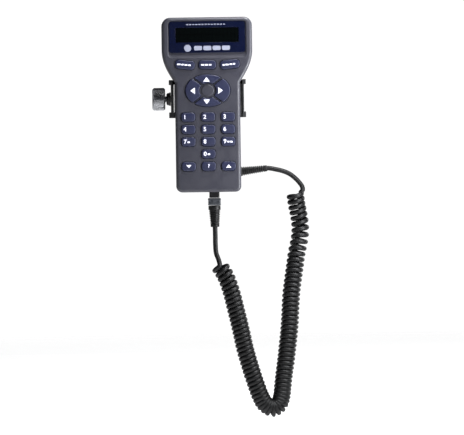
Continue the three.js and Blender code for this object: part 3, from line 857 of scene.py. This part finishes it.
def cord_route():
    """The wire's middle line, from inside one boot's tip to inside the other's."""
    lead_in = [np.array(point) * MM for point in HANDSET_LEAD]
    lead_out = [np.array(point) * MM for point in HOST_LEAD]
    first = np.array(exit_point) + np.array((0, 0, 6 * MM))
    last = lead_out[-1] - np.array(HOST_BOOT_AXIS) * 6.5 * MM
    return smooth_route([first, *lead_in, *coil_points(), *lead_out, last], 1.6 * MM)


def make_cord(route):
    sides, ups = carried_sides(route, (1, 0, 0))
    circle_points = circle(0, 0, WIRE_RADIUS, CORD_SIDES)
    mesh = bmesh.new()
    loft(mesh, [
        [Vector(centre + side * a + up * b) for a, b in circle_points]
        for centre, side, up in zip(route, sides, ups)
    ])
    piece = finish_mesh("curly_cord", mesh, [cord_jacket])
    piece.modifiers.clear()
    return piece


cord_line = cord_route()
curly_cord = make_cord(cord_line)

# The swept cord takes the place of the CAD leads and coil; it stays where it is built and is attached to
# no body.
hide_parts("lead_handset", "coil", "lead_host")
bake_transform(curly_cord)


def strain_relief(name, direction, thick, thin, length, start, ribs):
    """A tapered boot: a plain collar, then rings with grooves between them, then a smooth tip."""
    edge = 0.3 * MM
    rows = [(thick * 0.3, 0), (thick - edge, 0), (thick, edge), (thick, BOOT_COLLAR - 0.4 * MM)]
    rows.append((thick - edge, BOOT_COLLAR))
    pitch = (length - BOOT_COLLAR - BOOT_TIP) / ribs
    for rib in range(ribs):
        along = BOOT_COLLAR + rib * pitch
        ring = thick + (thin - thick) * (along + pitch / 2) / length
        worn = ring - 0.15 * MM
        groove = ring - BOOT_GROOVE
        rows += [(groove, along), (groove, along + 0.34 * pitch), (worn, along + 0.4 * pitch)]
        rows += [(ring, along + 0.5 * pitch), (ring, along + 0.84 * pitch), (worn, along + 0.94 * pitch)]
    end = length - BOOT_TIP
    rows += [(thin - edge, end), (thin, end + 0.5 * MM), (thin - 0.1 * MM, length - 0.4 * MM)]
    rows += [(thin - 0.35 * MM, length), (WIRE_RADIUS * 0.9, length)]
    mesh = bmesh.new()
    lathed(mesh, rows, start, direction, 40)
    return finish_mesh(name, mesh, [cord_jacket], radians(50))


def plug_block(name, node, axis, material, bevel, ribs=0):
    """A plug's body along one axis, with rounded edges, and grip ribs across it where it has them."""
    centre, size = measured(node)
    length = size[axis]
    rows = [(0, bevel), (0.3 * bevel, 0.3 * bevel), (bevel, 0)]
    margin = 1.6 * MM
    for rib in range(ribs):
        pitch = (length - 2 * margin) / ribs
        start = margin + rib * pitch
        for share, inset in ((0, 0), (0.25, 0.35 * MM), (0.6, 0.35 * MM), (0.85, 0)):
            rows.append((start + share * pitch, inset))
    rows += [(length - bevel, 0), (length - 0.3 * bevel, 0.3 * bevel), (length, bevel)]
    across = [index for index in range(3) if index != axis]
    rings = []
    for along, inset in rows:
        halves = [size[index] / 2 - inset for index in across]
        ring = []
        for offsets in rounded_box(*halves, 1.1 * MM, steps=5):
            point = Vector(centre)
            point[axis] += along - length / 2
            for index, offset in zip(across, offsets):
                point[index] += offset
            ring.append(point)
        rings.append(ring)
    mesh = bmesh.new()
    loft(mesh, rings)
    return finish_mesh(name, mesh, [material], radians(32))


def cord_ends():
    """The plug, hood and boot at each end of the cord."""
    plug = plug_block("handset_plug_body", "handset_plug", 2, jack_plastic, 0.5 * MM)
    hood = plug_block("plug_hood_shell", "plug_hood", 2, hood_plastic, 0.9 * MM, ribs=3)
    centre, size = measured("handset_boot")
    top = centre + Vector((-0.05 * MM, 0, size.z / 2))
    boot = strain_relief("handset_strain_relief", HANDSET_BOOT_AXIS, *HANDSET_BOOT, size.z, top, ribs=8)
    host_plug = plug_block("host_plug_body", "host_plug", 0, jack_plastic, 0.5 * MM)
    centre, size = measured("host_plug")
    side = centre + Vector((size.x / 2 + 2 * GAP, 0, 0))
    host_boot = strain_relief(
        "host_strain_relief", HOST_BOOT_AXIS, *HOST_BOOT, HOST_BOOT_LENGTH, side, ribs=11,
    )
    return [
        deliver(plug, "handset", "black_plastic", "handset_plug"),
        deliver(hood, "handset", "hood_grey", "plug_hood"),
        deliver(boot, "handset", "cord_black", "handset_boot"),
        deliver(host_plug, "holder", "black_plastic", "host_plug"),
        deliver(host_boot, "holder", "cord_black", "host_boot"),
    ]


cord_ends()

# ---------------- handset casings


def half_shell(name, seam, face, inner_face):
    """Half of the casing: up the outside from the seam, round the edge, and back down the inside."""
    outline = casing_outline()
    out = 1 if face > seam else -1
    rings = [at_depth(grown(outline, -SEAM_CHAMFER), seam), at_depth(outline, seam + out * SEAM_CHAMFER)]
    for inset, drop in quarter_round(EDGE_ROUND, 8):
        rings.append(at_depth(grown(outline, -inset), face - out * drop))
    count = len(rings)
    rings += prism(grown(outline, -WALL), inner_face, seam)
    mesh = bmesh.new()
    loops = vertex_loops(mesh, rings)
    pairs = list(zip(loops, loops[1:count]))
    for first, second in [*pairs, (loops[count], loops[count + 1]), (loops[count + 1], loops[0])]:
        strip(mesh, first, second)
    mesh.faces.new(loops[count - 1])
    mesh.faces.new(loops[count][::-1])
    return finish_mesh(name, mesh, [casing_plastic])


def key_hole(outline):
    """A hole for a key with a small rounded lip at the casing's face."""
    rings = [at_depth(grown(outline, GAP + LIP_ROUND), FACE_Y - 1 * MM)]
    for depth, flare in quarter_round(LIP_ROUND, 4):
        rings.append(at_depth(grown(outline, GAP + flare), FACE_Y + depth))
    rings.append(at_depth(grown(outline, GAP), FACE_Y + 5 * MM))
    return rings


def panel_recess():
    """The sunken seat of the display panel, with a long sloping lip below it."""
    centre, size = measured("display_panel")
    top = size.z / 2 + 0.9 * MM
    bottom = -size.z / 2 - LIP_LENGTH
    mouth = rounded_box(
        size.x / 2 + 1.1 * MM, (top - bottom) / 2, 3.6 * MM, centre.x, centre.z + (top + bottom) / 2,
    )
    edge = grown(mouth, 0.35 * MM)
    floor = box_outline("display_panel", 2.8 * MM, GAP)
    return [
        *prism(edge, FACE_Y - 1 * MM, FACE_Y),
        at_depth(mouth, FACE_Y + 0.12 * MM),
        at_depth(floor, FACE_Y + RECESS_DEPTH),
    ]


def window_outline(margin=0.0):
    return box_outline("display_window", 0.6 * MM + margin, margin)


def end_holes():
    """The holes for the cord's jack in the bottom end and the light's lens in the top end."""
    low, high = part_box("front_casing")
    jack = box_outline("cord_jack", 0.4 * MM, GAP, upright=1)
    lens = box_outline("light_lens", 0.4 * MM, GAP, upright=1)
    return (
        standing(jack, low.z - 2 * MM, low.z + WALL + 2 * MM),
        standing(lens, high.z - WALL - 2 * MM, high.z + 2 * MM),
    )


def make_front_casing():
    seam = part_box("front_casing")[1].y
    casing = half_shell("front_casing_shell", seam, FACE_Y, FACE_Y + FRONT_WALL)
    window = prism(window_outline(GAP), FACE_Y - 1 * MM, FACE_Y + 6 * MM)
    for hole in [*map(key_hole, key_outlines.values()), panel_recess(), window, *end_holes()]:
        cut(casing, hole)
    rows = [(RING_BOSS[0], 0)]
    for step in range(9):
        angle = pi / 2 * step / 8
        narrowed = RING_BOSS[0] * (1 - BOSS_ROUND * (1 - cos(angle)))
        rows.append((narrowed, BOSS_HEIGHT * sin(angle) + BOSS_SINK))
    mesh = bmesh.new()
    lathed(mesh, rows, (0, FACE_Y + BOSS_SINK, RING_Z), (0, -1, 0), 48)
    for vertex in mesh.verts:
        vertex.co.z = RING_Z + (vertex.co.z - RING_Z) * RING_BOSS[1] / RING_BOSS[0]
    combine(casing, finish_mesh("tool", mesh, []), "UNION")
    tidy_boolean(casing)
    deliver(casing, "handset", "casing", "front_casing")


def make_rear_casing():
    low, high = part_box("rear_casing")
    seam, back = low.y, high.y
    casing = half_shell("rear_casing_shell", seam, back, back - WALL)
    centres = [measured(f"casing_screw_{number}")[0] for number in range(1, 5)]
    places = [(centre.x, centre.z) for centre in centres]
    posts = [prism(circle(*place, POST_RADIUS), seam + 1 * MM, back - 1 * MM) for place in places]
    combine(casing, tool_from(*posts), "UNION")
    cut(casing, *(prism(circle(*place, WELL_RADIUS), back - 4 * MM, back + 1 * MM) for place in places))
    cut(casing, *(prism(circle(*place, BORE_RADIUS), seam - 1 * MM, back + 1 * MM) for place in places))
    cut(casing, *end_holes())
    label = rounded_box(*LABEL_HALF, 2 * MM, 0, LABEL_Z)
    cut(casing, [*prism(grown(label, 0.4 * MM), back + 1 * MM, back), at_depth(label, back - 0.5 * MM)])
    grooves = []
    for side in (-1, 1):
        for row in range(GRIP_ROWS):
            groove = rounded_box(*GRIP_HALF, 0.55 * MM, side * GRIP_X, GRIP_TOP - row * GRIP_PITCH)
            mouth = at_depth(grown(groove, 0.25 * MM), back + 1 * MM)
            grooves.append([mouth, at_depth(groove, back - 0.4 * MM)])
    cut(casing, *grooves)
    tidy_boolean(casing)
    deliver(casing, "handset", "casing", "rear_casing")


# ---------------- display


def printed(mesh, outline, front):
    """A printed mark, a little proud of the face that it is printed on."""
    loft(mesh, prism(outline, front - LEGEND_PROUD, front + LEGEND_DEPTH), material=1)


def dash(mesh, x, z, width, height, front):
    printed(mesh, rounded_box(width / 2, height / 2, min(width, height) * 0.3, x, z, steps=3), front)


def edged(outline, front, back, bevel):
    """Rings of a plate from its back to its front, with its front edge broken."""
    return [
        *prism(outline, back, front + bevel),
        at_depth(grown(outline, -0.3 * bevel), front + 0.3 * bevel),
        at_depth(grown(outline, -bevel), front),
    ]


def make_panel():
    """The navy display panel: a frame round the window, with rows of plain printed bars."""
    low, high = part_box("display_panel")
    front, back = low.y, high.y
    bevel = 0.3 * MM
    inner = window_outline(GAP)
    mesh = bmesh.new()
    loft(mesh, [
        *edged(box_outline("display_panel", 2.5 * MM), front, back, bevel),
        at_depth(grown(inner, bevel), front),
        *prism(inner, front + bevel, back),
    ], close=True)

    def bars(z, count, first_x, pitch, width, height):
        for number in range(count):
            dash(mesh, first_x + number * pitch, z, width, height, front)

    bars(high.z - LINE_BELOW_TOP, *LINE_BARS)
    mark_z = low.z + MARK_ABOVE_BOTTOM
    printed(mesh, circle(DISC_X, mark_z, DISC_RADIUS), front)
    bars(mark_z, *MARK_BARS)
    panel = finish_mesh("display_panel_plate", mesh, [panel_plastic, panel_ink])
    deliver(panel, "handset", "panel", "display_panel")


def make_window():
    low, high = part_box("display_window")
    mesh = bmesh.new()
    loft(mesh, edged(window_outline(), low.y, high.y, 0.25 * MM))
    pane = finish_mesh("display_window_pane", mesh, [window_glass])
    deliver(pane, "handset", "window", "display_window")


# ---------------- keys


def key_body(mesh, outline, front, back):
    """A key's cap with a rounded edge and a slightly crowned top, on the flange that holds it in."""
    flange_front = back - FLANGE_THICKNESS
    rings = [*prism(grown(outline, KEY_FLANGE), back, flange_front), at_depth(outline, flange_front)]
    shoulder = front + KEY_CROWN
    for inset, drop in quarter_round(KEY_ROUND, 6):
        rings.append(at_depth(grown(outline, -inset), shoulder + drop))
    top = grown(outline, -KEY_ROUND)
    centre = Vector((sum(x for x, _ in top), sum(z for _, z in top))) / len(top)
    for part in (0.85, 0.65, 0.45, 0.25, 0.08):
        ring = [tuple(centre + (Vector(point) - centre) * part) for point in top]
        rings.append(at_depth(ring, shoulder - KEY_CROWN * (1 - part ** 2)))
    loft(mesh, rings)


def glyph(mesh, text, x, z, size, front):
    """A printed character, as thin solid letters."""
    curve = bpy.data.curves.new("glyph", "FONT")
    curve.body = text
    curve.size = size
    curve.align_x = "CENTER"
    curve.align_y = "CENTER"
    curve.extrude = (LEGEND_PROUD + LEGEND_DEPTH) / 2
    curve.offset = 0.016 * size
    curve.resolution_u = 4
    letter = new_object("glyph", curve)
    depth = front - LEGEND_PROUD + curve.extrude
    letter.matrix_world = Matrix.Translation((x, depth, z)) @ Matrix.Rotation(pi / 2, 4, "X")
    bpy.context.view_layer.update()
    graph = bpy.context.evaluated_depsgraph_get()
    data = bpy.data.meshes.new_from_object(letter.evaluated_get(graph))
    data.transform(letter.matrix_world)
    before = len(mesh.faces)
    mesh.from_mesh(data)
    mesh.faces.ensure_lookup_table()
    for face in mesh.faces[before:]:
        face.material_index = 1
    bpy.data.objects.remove(letter)
    bpy.data.curves.remove(curve)
    bpy.data.meshes.remove(data)


def arrowhead(mesh, x, z, half_width, height, turn, front):
    """A printed arrowhead that points up before it is turned."""
    corners = [(half_width, -height / 2), (0, height / 2), (-half_width, -height / 2)]
    printed(mesh, placed(softened(corners, 0.4 * MM), x, z, turn), front)


def word_bars(mesh, widths, left, gap, x, z, tilt, height, front):
    """Bars from the left end of a line through (x, z); widths, left end and gap are in millimetres."""
    for width in widths:
        offset = (left + width / 2) * MM
        dash(mesh, x + offset, z + offset * sin(tilt), width * MM, height, front)
        left += width + gap


def legend(mesh, key, front):
    """What is printed on each key: an arrowhead, a number, or plain bars."""
    centre, _ = measured(key)
    x, z = centre.x, centre.z
    word = key.split("_")[-1]
    if key in FUNCTION_BARS:
        tilt, widths = FUNCTION_BARS[key]
        left = -1 - (sum(widths) + FUNCTION_BAR_GAP * (len(widths) - 1)) / 2
        word_bars(mesh, widths, left, FUNCTION_BAR_GAP, x, z, tilt, FUNCTION_BAR_HEIGHT, front)
    elif key.startswith("key_arrow"):
        turn = {"right": -pi / 2, "up": 0, "left": pi / 2, "down": pi}[word]
        place = (ARROW_SHIFT - sin(turn) * ARROW_PLACE[0], RING_Z + cos(turn) * ARROW_PLACE[1])
        arrowhead(mesh, *place, *ARROW_SIZE, turn, front)
    elif key.startswith("key_scroll"):
        arrowhead(mesh, x, z, *SCROLL_SIZE, pi if word == "down" else 0, front)
    elif key == "key_help":
        glyph(mesh, "?", x, z, HELP_SIZE, front)
    else:
        glyph(mesh, word, x + DIGIT_SHIFT, z, DIGIT_SIZE, front)
        widths = SECOND_BARS.get(word, ())
        word_bars(mesh, widths, -1, SECOND_BAR_GAP, x, z - 0.3 * MM, 0, SECOND_BAR_HEIGHT, front)


def make_keys():
    for key, outline in key_outlines.items():
        low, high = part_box(key)
        mesh = bmesh.new()
        key_body(mesh, outline, low.y, high.y)
        bmesh.ops.recalc_face_normals(mesh, faces=mesh.faces)
        legend(mesh, key, low.y)
        cap = finish_mesh(key + "_cap", mesh, [key_rubber, legend_ink], radians(50))
        cap.modifiers.clear()
        deliver(cap, key, "key_rubber", key)


# ---------------- screws, holder and clamp


def turned(node, suffix, rows, direction, sides, material, smooth, **shape):
    """A piece turned about its CAD node's middle line, from the node's end that the rows start at."""
    centre, size = measured(node)
    direction = Vector(direction)
    start = centre - direction * abs(size.dot(direction)) / 2
    mesh = bmesh.new()
    lathed(mesh, rows, start, direction, sides, **shape)
    return finish_mesh(node + suffix, mesh, [material], radians(smooth))


def make_casing_screws():
    """Pan-head screws with a cross recess."""
    for number in range(1, 5):
        node = f"casing_screw_{number}"
        centre, size = measured(node)
        length = size.y / MM
        neck = length - 2
        rows = [(1.25, 0), (1.25, neck), (2.5, neck), (2.8, neck + 0.3)]
        for step in range(5):
            angle = pi / 2 * step / 5
            rows.append((1.2 + 1.6 * cos(angle), length - 0.9 + 0.9 * sin(angle)))
        rows.append((0.9, length))
        screw = turned(node, "_cross", in_metres(rows), (0, 1, 0), 28, screw_steel, 38)
        top = centre.y + size.y / 2
        for half_x, half_z in ((1.7 * MM, 0.28 * MM), (0.28 * MM, 1.7 * MM)):
            wide = rounded_box(half_x, half_z, 0.2 * MM, centre.x, centre.z, steps=2)
            deep = rounded_box(half_x * 0.55, half_z * 0.9, 0.1 * MM, centre.x, centre.z, steps=2)
            cut(screw, [*prism(wide, top + 0.5 * MM, top), at_depth(deep, top - 1.2 * MM)])
        soften(screw)
        deliver(screw, "handset", "screw_steel", node)


def threaded_rows(radius, start, end, pitch, depth):
    rows = []
    count = int((end - start) / pitch)
    for number in range(count):
        along = start + number * pitch
        rows += [(radius - depth, along), (radius, along + 0.42 * pitch), (radius, along + 0.58 * pitch)]
    rows.append((radius - depth, start + count * pitch))
    return rows


def make_holder_screws():
    for node in ("holder_screw_lower", "holder_screw_upper"):
        length = measured(node)[1].y
        radius = 2.4 * MM
        rows = in_metres([(4.3, 0), (4.6, 0.25), (4.5, 0.4), (2.4, 2), (2.4, 2.6)])
        rows += threaded_rows(radius, 2.9 * MM, length - 0.7 * MM, 0.8 * MM, 0.35 * MM)
        rows.append((radius - 0.5 * MM, length))
        screw = turned(node, "_thread", rows, (0, 1, 0), 36, screw_steel, 25)
        deliver(screw, "holder", "screw_steel", node)


def make_boss():
    """The raised boss that the thumb screw is threaded through."""
    size = measured("screw_boss")[1] / MM
    radius = size.z / 2
    length = size.x
    rows = in_metres([
        (radius - 0.2, 0), (radius, 0.2), (radius, 1.2), (radius - 0.5, 1.6),
        (radius - 0.5, length - 1.1), (radius - 1.2, length - 0.4), (radius - 1.7, length),
        (3.5, length), (3.35, length - 0.3), (3.35, 0),
    ])
    boss = turned("screw_boss", "_collar", rows, (-1, 0, 0), 48, holder_paint, 38, close=True)
    deliver(boss, "holder", "holder_paint", "screw_boss")


def make_knob():
    """The clamp knob: a straight knurl between two chamfers, and a dished outer face."""
    size = measured("clamp_knob")[1] / MM
    radius = size.z / 2
    length = size.x
    neck = [(3.3, 0.6), (radius * 0.62, 0.6), (radius * 0.68, 0), (radius - 1.3, 0)]
    rim = [(radius - 0.2, 1.1), (radius, 1.5), (radius, length / 2)]
    rim += [(radius, length - 1.8), (radius - 0.2, length - 1.4)]
    face = [
        (radius - 1.4, length - 0.2), (radius - 1.8, length), (radius * 0.7, length),
        (radius * 0.64, length - 0.5), (radius * 0.3, length - 0.8), (radius * 0.04, length - 0.85),
    ]
    knurled = range(len(neck), len(neck) + len(rim))

    def ridges(angle, row):
        if row not in knurled:
            return 1
        wave = abs(sin(KNURL_RIDGES * angle / 2))
        return 1 - KNURL_DEPTH / radius * (1 - min(1, wave * 1.5))

    rows = in_metres(neck + rim + face)
    sides = KNURL_RIDGES * 8
    knob = turned("clamp_knob", "_knurled", rows, (-1, 0, 0), sides, knob_chrome, 28, ridges=ridges)
    deliver(knob, "thumb_screw", "knob_chrome", "clamp_knob")


def make_stud():
    _, size = measured("screw_stud")
    radius = size.z / 2
    length = size.x
    rows = [(radius - 0.8 * MM, 0), (radius - 0.3 * MM, 0.4 * MM)]
    rows += threaded_rows(radius, 0.8 * MM, length - 1 * MM, 1 * MM, 0.4 * MM)
    rows.append((radius - 0.4 * MM, length))
    stud = turned("screw_stud", "_thread", rows, (-1, 0, 0), 36, screw_steel, 25)
    deliver(stud, "thumb_screw", "screw_steel", "screw_stud")


# ---------------- all together

make_front_casing()
make_rear_casing()
make_panel()
make_window()
make_keys()
make_casing_screws()
refine("light_lens", "handset", "red_lens", lens_plastic, 0.5 * MM)
refine("cord_jack", "handset", "black_plastic", jack_plastic, 0.3 * MM)
refine("holder_bracket", "holder", "holder_paint", holder_paint, 0.6 * MM)
refine("back_pad", "holder", "pad_rubber", pad_rubber, 0.35 * MM)
refine("side_pad", "holder", "pad_rubber", pad_rubber, 0.5 * MM)
refine("clamp_plate", "clamp_plate", "nickel", plate_nickel, 0.35 * MM)
make_holder_screws()
make_boss()
make_stud()
make_knob()

kept_nodes = {
    "display_frame": tin_plate, "display_module": chip_epoxy, "display_header": jack_plastic,
    "keypad_mat": mat_rubber, "main_board": board_mask, "processor_chip": chip_epoxy,
    "memory_chip": chip_epoxy, "buzzer": jack_plastic,
}
for kept_name, kept_material in kept_nodes.items():
    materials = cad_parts[kept_name].data.materials
    materials.clear()
    materials.append(kept_material)


def floor_paper():
    """Pale paper that fades out towards the floor's rim."""
    nodes = Surface("floor_paper")
    spread = nodes.add("ShaderNodeVectorMath", {0: nodes.place}, operation="LENGTH")
    fade = nodes.span(spread.outputs["Value"], 1, 0, 0.8, 0.97 * FLOOR_RADIUS)
    fade.node.interpolation_type = "SMOOTHSTEP"
    return nodes.finished({
        "Base Color": nodes.mixed(nodes.noise(0.2), srgb(246, 246, 247), srgb(252, 252, 252)),
        "Roughness": 0.8,
        "Alpha": fade,
        "Emission Color": (1, 1, 1, 1),
        "Emission Strength": 0.75,
    })


def make_floor():
    """A round floor under the cord."""
    height = cad_low.z - FLOOR_DROP
    rings = []
    for share in (0.02, 0.3, 0.6, 0.85, 1):
        rim = circle(middle.x, 0, share * FLOOR_RADIUS, 96)
        rings.append([Vector((x, y, height)) for x, y in rim])
    mesh = bmesh.new()
    loops = vertex_loops(mesh, rings)
    mesh.faces.new(loops[0])
    for first, second in zip(loops, loops[1:]):
        strip(mesh, first, second)
    floor = finish_mesh("floor", mesh, [floor_paper()])
    floor.modifiers.clear()


make_floor()
